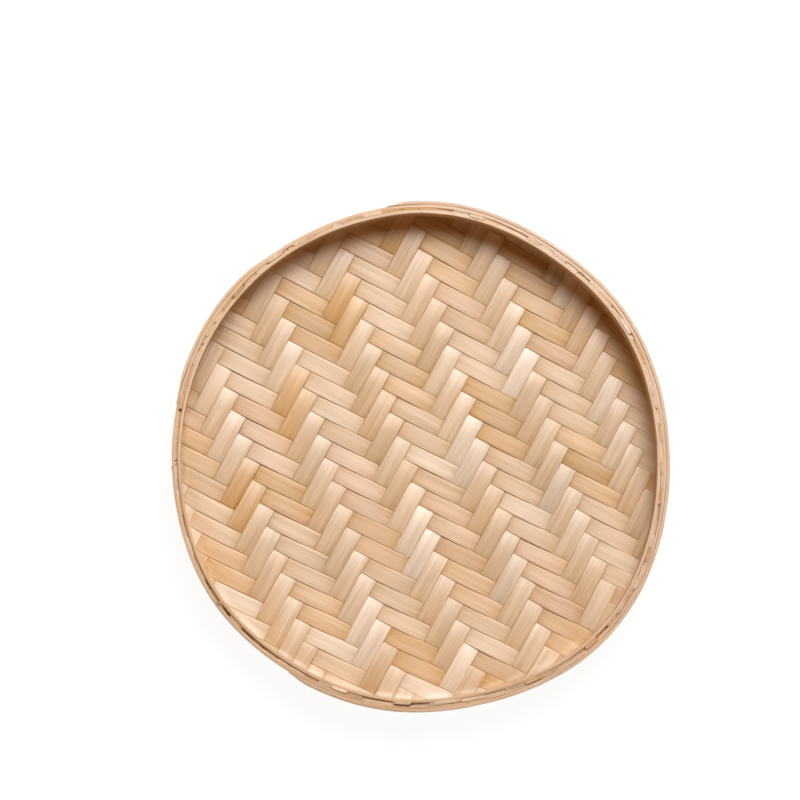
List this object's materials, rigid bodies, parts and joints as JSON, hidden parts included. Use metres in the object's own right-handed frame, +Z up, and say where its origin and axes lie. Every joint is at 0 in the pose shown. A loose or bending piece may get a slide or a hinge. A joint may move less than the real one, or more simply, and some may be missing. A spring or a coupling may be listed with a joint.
{
  "type": "woven bamboo tray",
  "caption": "Round shallow tray of twill-woven flat bamboo strips, bent up at its edge and clamped in a rim of bent bamboo hoops; holds, drains and airs food",
  "frame": {"origin": "on the ground under the middle of the tray", "axes": "+Z up through the open side of the tray, +Y along the warp strips, +X along the weft strips"},
  "size_m": [0.3, 0.3, 0.025],
  "materials": {
    "warp_strip": "split bamboo, fine fibres along the strip, satin",
    "weft_strip": "split bamboo, fine fibres along the strip, satin",
    "hoop": "bent bamboo lath, planed, satin",
    "peg": "whittled bamboo, matt"
  },
  "bodies": {
    "root": {"warp_01": "warp_strip", "warp_02": "warp_strip", "warp_03": "warp_strip", "warp_04": "warp_strip", "warp_05": "warp_strip", "warp_06": "warp_strip", "warp_07": "warp_strip", "warp_08": "warp_strip", "warp_09": "warp_strip", "warp_10": "warp_strip", "warp_11": "warp_strip", "warp_12": "warp_strip", "warp_13": "warp_strip", "warp_14": "warp_strip", "warp_15": "warp_strip", "warp_16": "warp_strip", "warp_17": "warp_strip", "warp_18": "warp_strip", "warp_19": "warp_strip", "warp_20": "warp_strip", "warp_21": "warp_strip", "warp_22": "warp_strip", "warp_23": "warp_strip", "warp_24": "warp_strip", "warp_25": "warp_strip", "warp_26": "warp_strip", "warp_27": "warp_strip", "warp_28": "warp_strip", "weft_01": "weft_strip", "weft_02": "weft_strip", "weft_03": "weft_strip", "weft_04": "weft_strip", "weft_05": "weft_strip", "weft_06": "weft_strip", "weft_07": "weft_strip", "weft_08": "weft_strip", "weft_09": "weft_strip", "weft_10": "weft_strip", "weft_11": "weft_strip", "weft_12": "weft_strip", "weft_13": "weft_strip", "weft_14": "weft_strip", "weft_15": "weft_strip", "weft_16": "weft_strip", "weft_17": "weft_strip", "weft_18": "weft_strip", "weft_19": "weft_strip", "weft_20": "weft_strip", "weft_21": "weft_strip", "weft_22": "weft_strip", "weft_23": "weft_strip", "weft_24": "weft_strip", "weft_25": "weft_strip", "weft_26": "weft_strip", "weft_27": "weft_strip", "weft_28": "weft_strip", "inner_hoop": "hoop", "outer_hoop": "hoop", "outer_band": "hoop", "rim_pegs": "peg"}
  },
  "joints": []
}
